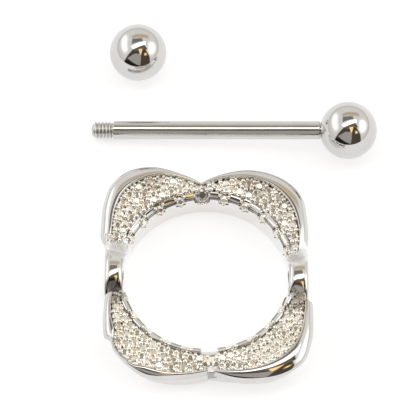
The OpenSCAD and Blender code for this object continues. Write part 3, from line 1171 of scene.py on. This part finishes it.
# Painted light and shade on the ring: the inner wall and all below 1.5 mm paler, as if lit by the
# floor, paler satin ramps at the back petals' ends, painted shade in specks on the right band's
# front slope, and a painted dark reflection on the left band's front end
RING_PAINTED_LIGHT_AND_SHADE = (
    Zone(RING_AT, ACROSS, OPENING_R + 0.02, OPENING_R + 0.05, PAINTED_FLOOR_LIGHT),
    Zone(RING_AT, UPWARDS, 1.5, 1.9, PAINTED_FLOOR_LIGHT),
    Zone(in_ring(161.3, 7.9), ACROSS, 0.9, 1.25, SATIN_PAINTED_LIGHT, rough=0.5),
    Zone(in_ring(13.7, 8.0), ACROSS, 0.9, 1.25, SATIN_PAINTED_LIGHT, rough=0.5),
    Zone(in_ring(346.2, 8.0), ACROSS, 0.5, 0.9, PAINTED_DARK_SPECKS, spots=3200.0),
    Zone(in_ring(188.3, 8.0), ACROSS, 0.65, 0.95, PAINTED_DARK_REFLECTION),
)

# Columns: finish, its tone and its duller tone among the colours, roughness, strength of the
# wave in its skin, stretch of the grain, zones of painted light and shade
METALS = (
    ("plated_silver", "silver", "dull_silver", 0.035, 0.10, (1, 1, 1), RING_PAINTED_LIGHT_AND_SHADE),
    ("bright_beads", "bead", "dull_bead", 0.03, 0.05, (1, 1, 1), FRONT_END_PAINTED_SHADE + BACK_SHADE),
    # The notch plate's darker tone is painted shade; its brushed grain and roughness are its own
    ("brushed_plate", "plate", "plate", 0.12, 0.3, (1, 1, 0.1), ()),
    ("turned_steel", "steel", "dull_steel", 0.03, 0.05, (1, 1, 1), ()),
    ("satin_steel", "bar", "dull_steel", 0.09, 0.5, (0.04, 1, 1), ()),
)
# Smears that make a metal up to so many times rougher, and the wave in its skin, in metres
SMEAR_SCALE = 1500.0
SMEAR_EDGE = (0.3, 0.75)
DULLEST = 2.2
WAVE_SCALE = 900.0
WAVE_HEIGHT = 0.00002
# The table's clouds, as a share of its tone
TABLE_CLOUD = 0.985

# The finish of each solid of the frame that isn't a field of stones
METAL_NODES = {
    "shield_ring": "plated_silver",
    "barbell_bar": "turned_steel",
    "fixed_ball": "turned_steel",
    "loose_ball": "turned_steel",
}


def start_material(name, **settings):
    """The desk and the shader of a new material, with the shader's settings by name."""
    material = bpy.data.materials.new(name)
    material.use_nodes = True
    desk = NodeDesk(material.node_tree)
    shader = desk.add("ShaderNodeBsdfPrincipled", **settings)
    desk.add("ShaderNodeOutputMaterial", Surface=shader.outputs[0])
    return desk, shader


def zoned(desk, tone, gloss, zones):
    """The tone and the gloss of a finish, with painted light and shade in its zones."""
    for zone in zones:
        away = desk.distance(zone.place, zone.axes)
        share = desk.spread(away, zone.near * MM, zone.far * MM, 1.0, 0.0, smooth=True)
        if zone.spots:
            spots = desk.spread(desk.noise(zone.spots, detail=1.0), *SPOT_EDGE)
            share = desk.joined("MULTIPLY", share, spots)
        tone = desk.mix(share, tone, (*zone.tone, 1))
        if zone.rough:
            gloss = desk.spread(share, 0.0, 1.0, gloss, zone.rough)
    return tone, gloss


def metal_finish(name, colour, dull_colour, rough, wave, grain, zones):
    """A polished metal: faint clouds in its tone and gloss, a faint wave in its skin, and painted
    light and shade in its zones.
    """
    desk, shader = start_material(name, Metallic=1.0)
    tone = desk.clouds(colour, dull_colour, scale=420.0, low=0.35, high=0.7)
    smears = desk.noise(SMEAR_SCALE, stretch=grain)
    gloss = desk.spread(smears, *SMEAR_EDGE, to_low=rough, to_high=rough * DULLEST)
    tone, gloss = zoned(desk, tone, gloss, zones)
    desk.feed(shader.inputs["Base Color"], tone)
    desk.feed(shader.inputs["Roughness"], gloss)
    height = desk.noise(WAVE_SCALE, detail=2.0, stretch=grain)
    bump = desk.add("ShaderNodeBump", Strength=wave, Distance=WAVE_HEIGHT, Height=height)
    desk.feed(shader.inputs["Normal"], bump.outputs[0])


def stone_finish(name, colour, haze_colour, zones):
    """A clear cut stone, whose lower facets throw most of the light back, with a faint haze, a
    faint painted glow that lifts its darks, and painted shade in its zones.
    """
    desk, shader = start_material(
        name,
        Metallic=0.7,
        Transmission_Weight=1.0,
        IOR=2.05,
        Roughness=0.02,
        # A faint warm painted glow that lifts the stones' darks
        Emission_Color=(1.0, 0.96, 0.88, 1.0),
        Emission_Strength=0.05,
    )
    tone = desk.clouds(colour, haze_colour, scale=700.0, low=0.35, high=0.65)
    desk.feed(shader.inputs["Base Color"], zoned(desk, tone, None, zones)[0])


def floor_finish(name, colour, glow):
    """The pale table, lit from below too, with hardly any gloss."""
    desk, shader = start_material(
        name,
        Roughness=0.9,
        Specular_IOR_Level=0.1,
        Emission_Color=(1.0, 1.0, 1.0, 1.0),
        Emission_Strength=glow,
    )
    bpy.data.materials[name].cycles.emission_sampling = "NONE"
    darker = [c * TABLE_CLOUD for c in colour]
    tone = desk.clouds(colour, darker, scale=60.0, low=0.3, high=0.7)
    desk.feed(shader.inputs["Base Color"], tone)


# Tones of the light tent's panels
BROWN = (0.10, 0.075, 0.06)
LIGHTER_BROWN = (0.20, 0.155, 0.115)
BLACK = (0.02, 0.018, 0.016)
GREY = (0.47, 0.44, 0.41)
GOLD_LAMP = (1.0, 0.72, 0.30)
TAN = (0.66, 0.57, 0.46)
GOLDEN_TAN = (0.78, 0.62, 0.38)
DARK_SEAM = (0.27, 0.24, 0.21)
WHITE_LAMP = (1.0, 0.99, 0.97)

# The light tent seen from the ring, as panels on its cloth. In front it is open. A corner is
# degrees to the right of the front, and degrees above the table.
# Columns: corners, colour, brightness, softness of the edge in degrees
PANELS = (
    # the open front in two parts, its brown top, a black corner and a grey square
    (((-52, 2), (-51, 65), (72, 50), (54, 25), (49, 1), (-4, 1)), BROWN, 1.0, 3),
    (((-51, 64), (-50, 76), (99, 66), (72, 49)), BROWN, 1.0, 3),
    (((-51, 62), (-50, 76), (99, 66), (67, 58), (0, 66)), LIGHTER_BROWN, 1.0, 4),
    (((-51, 2), (-49, 14), (-17, 24), (5, 4), (-4, 1)), BLACK, 1.0, 4),
    (((-46, 24), (-22, 54), (21, 53), (13, 27), (7, 5)), GREY, 1.0, 4),
    # two warm lamps in it
    (((8, 74), (54, 67), (19, 50), (14, 53)), GOLD_LAMP, 1.5, 3),
    (((43, 50), (53, 43), (46, 37), (36, 41)), GOLD_LAMP, 1.5, 6),
    # overhead: a tan patch with a golden part, a dark seam and a narrow lamp
    (((-153, 40), (143, 28), (132, 39), (-143, 52)), TAN, 1.0, 7),
    (((177, 48), (158, 43), (149, 56), (175, 62)), GOLDEN_TAN, 1.0, 5),
    (((-144, 54), (151, 57), (134, 64), (-104, 66)), DARK_SEAM, 1.0, 5),
    (((-84, 62), (-51, 66), (102, 59), (124, 55)), WHITE_LAMP, 2.4, 2),
    # the two lamps beside the tent, soft through its cloth
    (((-130, 14), (-141, 14), (-138, 33), (-70, 44), (-70, 29)), WHITE_LAMP, 2.0, 20),
    (((118, 32), (110, 47), (62, 40), (65, 22), (84, 15), (109, 17)), WHITE_LAMP, 2.0, 20),
)

# The cloth's brightness at the table as a share of the whole, the height of a direction at
# which it is whole, and the height below which a direction is under the table's edge
TENT_FOOT = 0.84
TENT_WHOLE_AT = 0.35
TABLE_EDGE = -0.02


def toward(azimuth, elevation):
    """Direction from the ring, by degrees to the right of the front and above the table."""
    a, e = math.radians(azimuth), math.radians(elevation)
    return Vector((math.sin(a) * math.cos(e), -math.cos(a) * math.cos(e), math.sin(e)))


def panel_mask(desk, direction, corners, softness):
    """1 inside a panel of the tent and 0 outside, soft across its edge."""
    places = [toward(*corner) for corner in corners]
    middle = sum(places, Vector())
    soft = math.radians(softness)
    mask = None
    for here, there in zip(places, places[1:] + places[:1]):
        edge = here.cross(there).normalized()
        if edge.dot(middle) < 0:
            edge = -edge
        side = desk.spread(desk.dot(direction, edge), -soft / 2, soft / 2, smooth=True)
        mask = side if mask is None else desk.joined("MULTIPLY", mask, side)
    return mask


def light_tent(sizes):
    """The world: a pale tent round the table with its open front and its lamps."""
    world = bpy.data.worlds.new("light_tent")
    bpy.context.scene.world = world
    world.use_nodes = True
    desk = NodeDesk(world.node_tree)
    direction = desk.add("ShaderNodeTexCoord").outputs["Generated"]
    height = desk.dot(direction, (0, 0, 1))
    tent = sizes.tent_tone
    cloth = desk.spread(height, 0.0, TENT_WHOLE_AT, tent * TENT_FOOT, tent, smooth=True)
    under = desk.spread(height, TABLE_EDGE, 0.0, sizes.under_tone, 0.0)
    above = desk.spread(height, TABLE_EDGE, 0.0)
    tone = desk.joined("ADD", desk.joined("MULTIPLY", cloth, above), under)
    colour = desk.mix(tone, (0, 0, 0, 1), (*sizes.tent_colour, 1))
    for corners, shade, brightness, softness in PANELS:
        mask = panel_mask(desk, direction, corners, softness)
        colour = desk.mix(mask, colour, (*(c * brightness for c in shade), 1))
    backdrop = desk.add("ShaderNodeBackground", Color=colour, Strength=sizes.lamp_strength)
    desk.add("ShaderNodeOutputWorld", Surface=backdrop.outputs[0])


class ShieldSizes(bpy.types.PropertyGroup):
    """Sizes of the ring's finest work."""

    stone: bpy.props.FloatProperty(
        name="Stone",
        description="Girdle radius of a stone of a row",
        default=0.00035,
        unit="LENGTH",
    )
    seat_stone: bpy.props.FloatProperty(
        name="Seat stone",
        description="Girdle radius of a stone in a seat",
        default=0.00034,
        unit="LENGTH",
    )
    fill_stone: bpy.props.FloatProperty(
        name="Fill stone",
        description="Least radius of a stone between rows",
        default=0.00026,
        unit="LENGTH",
    )
    largest_bead: bpy.props.FloatProperty(
        name="Largest bead",
        description="Radius of the largest bead",
        default=0.00024,
        unit="LENGTH",
    )
    smallest_gap: bpy.props.FloatProperty(
        name="Smallest gap",
        description="Least gap that takes a bead",
        default=0.00005,
        unit="LENGTH",
    )
    bead_overlap: bpy.props.FloatProperty(
        name="Bead overlap",
        description="Reach of a bead over stones",
        default=0.00009,
        unit="LENGTH",
    )
    stone_lean: bpy.props.FloatProperty(
        name="Stone lean",
        description="Most that a stone leans",
        default=math.radians(9),
        subtype="ANGLE",
    )
    sharp_angle: bpy.props.FloatProperty(
        name="Sharp angle",
        description="Sharper edges stay hard",
        default=math.radians(38),
        subtype="ANGLE",
    )
    seed: bpy.props.IntProperty(
        name="Seed", description="Seed of the small stones' places", default=7
    )


class FinishColours(bpy.types.PropertyGroup):
    """Colours and gloss of the metals and stones."""

    silver: bpy.props.FloatVectorProperty(
        name="Silver",
        description="Tone of the plated ring",
        default=(0.68, 0.675, 0.665),
        subtype="COLOR",
    )
    dull_silver: bpy.props.FloatVectorProperty(
        name="Dull silver",
        description="Tone of its clouds",
        default=(0.63, 0.625, 0.61),
        subtype="COLOR",
    )
    bead: bpy.props.FloatVectorProperty(
        name="Beads", description="Tone of the beads", default=(0.95, 0.92, 0.87), subtype="COLOR"
    )
    dull_bead: bpy.props.FloatVectorProperty(
        name="Dull beads",
        description="Tone of their clouds",
        default=(0.86, 0.83, 0.77),
        subtype="COLOR",
    )
    # The plate's tone, darker than the ring's silver, is painted shade on its face
    plate: bpy.props.FloatVectorProperty(
        name="Notch plate",
        description="Tone of the plate",
        default=(0.42, 0.41, 0.40),
        subtype="COLOR",
    )
    steel: bpy.props.FloatVectorProperty(
        name="Steel",
        description="Tone of the two balls",
        default=(0.65, 0.645, 0.635),
        subtype="COLOR",
    )
    bar: bpy.props.FloatVectorProperty(
        name="Bar",
        description="Tone of the bar itself",
        default=(0.65, 0.635, 0.61),
        subtype="COLOR",
    )
    dull_steel: bpy.props.FloatVectorProperty(
        name="Dull steel",
        description="Tone of its clouds",
        default=(0.61, 0.605, 0.595),
        subtype="COLOR",
    )
    stone: bpy.props.FloatVectorProperty(
        name="Stone",
        description="Tint of the clear stones",
        default=(1.0, 0.98, 0.92),
        subtype="COLOR",
    )
    stone_haze: bpy.props.FloatVectorProperty(
        name="Stone haze",
        description="Tint of their haze",
        default=(0.88, 0.85, 0.76),
        subtype="COLOR",
    )
    floor: bpy.props.FloatVectorProperty(
        name="Floor", description="Tone of the table", default=(0.52, 0.53, 0.55), subtype="COLOR"
    )
    floor_glow: bpy.props.FloatProperty(
        name="Floor glow", description="Light through the table from below", default=0.62
    )


class StageSizes(bpy.types.PropertyGroup):
    """Floor, light and camera."""

    floor_r: bpy.props.FloatProperty(
        name="Floor radius", description="Radius of the pale table", default=1.5, unit="LENGTH"
    )
    tent_tone: bpy.props.FloatProperty(
        name="Tent tone", description="Brightness of the tent's cloth", default=0.95
    )
    tent_colour: bpy.props.FloatVectorProperty(
        name="Tent colour",
        description="Tint of the cloth",
        default=(1.0, 0.98, 0.94),
        subtype="COLOR",
    )
    under_tone: bpy.props.FloatProperty(
        name="Tone below", description="Brightness below the table's edge", default=0.95
    )
    lamp_strength: bpy.props.FloatProperty(
        name="Light", description="Strength of all the light", default=1.0
    )
    camera_height: bpy.props.FloatProperty(
        name="Camera height",
        description="Angle of the camera over the table",
        default=math.radians(62.8),
        subtype="ANGLE",
    )
    camera_distance: bpy.props.FloatProperty(
        name="Camera distance",
        description="From the camera to the middle of the picture",
        default=0.39,
        unit="LENGTH",
    )
    lens: bpy.props.FloatProperty(
        name="Lens", description="Focal length", default=389.08, subtype="DISTANCE_CAMERA"
    )
    aim: bpy.props.FloatVectorProperty(
        name="Aim",
        description="Point at the middle of the picture",
        default=(-0.00226, 0.00055, 0.0),
        subtype="TRANSLATION",
    )


TABLE_SIDES = 96
# Sharpest bend that stays smooth on the plate, on the beads and on the stones
PLATE_SHARP = math.radians(30)
BEAD_SHARP = math.radians(60)
FACET_SHARP = math.radians(1)


class SHIELD_OT_cast_ring(bpy.types.Operator):
    """Builds the cast ring with its bar holes, seat cups, rail and holding beads"""

    bl_idname = "shield.cast_ring"
    bl_label = "Cast the ring"

    def execute(self, context):
        sizes = context.scene.shield_sizes
        sharp = sizes.sharp_angle
        casting = ring_shape().piece(
            "ring_casting", sharp, "polished_silver", "plated_silver", "shield_ring"
        )
        drill(casting, bar_hole_tool())
        mark_sharp(casting.data, sharp)
        seat_cups(sizes).piece("seat_cups", sharp, "polished_silver", "bright_beads")
        notch_plate().piece("notch_plate", PLATE_SHARP, "polished_silver", "brushed_plate")
        holding_beads(sizes).piece("holding_beads", BEAD_SHARP, "polished_silver", "bright_beads")
        return {"FINISHED"}


class SHIELD_OT_set_stones(bpy.types.Operator):
    """Cuts the clear stones of each petal, where the model has them and in the gaps"""

    bl_idname = "shield.set_stones"
    bl_label = "Set the stones"

    def execute(self, context):
        sizes = context.scene.shield_sizes
        rows = field_stones(sizes.stone / MM)
        small, _ = fill_gaps(rows, sizes)
        chance = random.Random(sizes.seed + 2)
        for name, node, low, high in STONE_FIELDS:
            field = Shape()
            for angle, radius, size in rows + small:
                if low < angle % 360 <= high:
                    lean = by_chance(chance, sizes.stone_lean)
                    cut_stone(field, on_bed(angle, radius) @ lean, size)
            for angle, place, size, _ in seats(sizes.seat_stone / MM):
                if low < angle <= high:
                    lean = Matrix.Rotation(NOTCH_STONE_LEAN if angle == BACK_NOTCH else 0, 4, "X")
                    cut_stone(field, place @ lean @ by_chance(chance, 0), size)
            if not field.faces:
                raise RuntimeError(f"no stone lies in {node}")
            field.piece(name, FACET_SHARP, "clear_stone", "cut_crystal", node)
        return {"FINISHED"}


class SHIELD_OT_turn_barbell(bpy.types.Operator):
    """Turns the bar with its thread, the ball on it and the loose ball"""

    bl_idname = "shield.turn_barbell"
    bl_label = "Turn the barbell"

    def execute(self, context):
        sharp = context.scene.shield_sizes.sharp_angle
        for shape, name, finish, node in (
            (bar_shape(), "bar_with_thread", "satin_steel", "barbell_bar"),
            (fixed_ball_shape(), "ball_on_bar", "turned_steel", "fixed_ball"),
            (loose_ball_shape(), "ball_to_screw_on", "turned_steel", "loose_ball"),
        ):
            shape.piece(name, sharp, "polished_steel", finish, node)
        return {"FINISHED"}


class SHIELD_OT_mix_finishes(bpy.types.Operator):
    """Mixes the metals and the stone, and gives each solid of the frame its own"""

    bl_idname = "shield.mix_finishes"
    bl_label = "Mix the finishes"

    def execute(self, context):
        colours = context.scene.shield_colours
        for name, tone, dull_tone, *finish in METALS:
            metal_finish(name, getattr(colours, tone), getattr(colours, dull_tone), *finish)
        zones = NOTCH_SHADE + FRONT_END_PAINTED_SHADE + BACK_SHADE
        stone_finish("cut_crystal", colours.stone, colours.stone_haze, zones)
        for name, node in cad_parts.items():
            node.data.materials.clear()
            finish = METAL_NODES.get(name, "cut_crystal")
            node.data.materials.append(bpy.data.materials[finish])
        return {"FINISHED"}


class SHIELD_OT_lay_stage(bpy.types.Operator):
    """Lays the pale table, the light tent and the camera"""

    bl_idname = "shield.lay_stage"
    bl_label = "Lay the stage"

    def execute(self, context):
        scene = context.scene
        sizes = scene.shield_stage
        colours = scene.shield_colours
        floor_finish("pale_table", colours.floor, colours.floor_glow)
        disc = Shape()
        disc.lathe([(sizes.floor_r / MM, 0), (0, 0)], TABLE_SIDES)
        table = disc.thing("pale_table")
        table.data.materials.append(bpy.data.materials["pale_table"])
        light_tent(sizes)
        scene.view_settings.view_transform = "Standard"
        scene.view_settings.look = "None"
        camera = bpy.data.cameras.new("camera")
        camera.sensor_width = 36
        camera.lens = sizes.lens
        camera.clip_start = 0.01
        camera.clip_end = 10
        eye = bpy.data.objects.new("camera", camera)
        scene.collection.objects.link(eye)
        rise = sizes.camera_height
        back = Vector((0, -math.cos(rise), math.sin(rise)))
        eye.location = Vector(sizes.aim) + back * sizes.camera_distance
        eye.rotation_euler = (math.pi / 2 - rise, 0, 0)
        scene.camera = eye
        return {"FINISHED"}


class SHIELD_PT_panel(bpy.types.Panel):
    """Lists the sizes, the colours and the steps of the scene"""

    bl_idname = "SHIELD_PT_panel"
    bl_label = "Nipple shield"
    bl_space_type = "VIEW_3D"
    bl_region_type = "UI"
    bl_category = "Shield"

    def draw(self, context):
        for group, _ in GROUPS:
            box = self.layout.box()
            settings = getattr(context.scene, group)
            for name in settings.__annotations__:
                box.prop(settings, name)
        for step in STEPS:
            self.layout.operator(step.bl_idname)


STEPS = (
    SHIELD_OT_mix_finishes,
    SHIELD_OT_cast_ring,
    SHIELD_OT_set_stones,
    SHIELD_OT_turn_barbell,
    SHIELD_OT_lay_stage,
)
GROUPS = (
    ("shield_sizes", ShieldSizes),
    ("shield_colours", FinishColours),
    ("shield_stage", StageSizes),
)


def register():
    """Makes the settings, the steps and the panel known."""
    for name, group in GROUPS:
        bpy.utils.register_class(group)
        setattr(bpy.types.Scene, name, bpy.props.PointerProperty(type=group))
    for kind in (*STEPS, SHIELD_PT_panel):
        bpy.utils.register_class(kind)


def unregister():
    """Takes them away again."""
    for kind in (SHIELD_PT_panel, *reversed(STEPS)):
        bpy.utils.unregister_class(kind)
    for name, group in reversed(GROUPS):
        delattr(bpy.types.Scene, name)
        bpy.utils.unregister_class(group)


def main():
    """Runs each step in order."""
    register()
    bpy.ops.shield.mix_finishes()
    bpy.ops.shield.cast_ring()
    bpy.ops.shield.set_stones()
    bpy.ops.shield.turn_barbell()
    bpy.ops.shield.lay_stage()


if __name__ == "__main__":
    main()
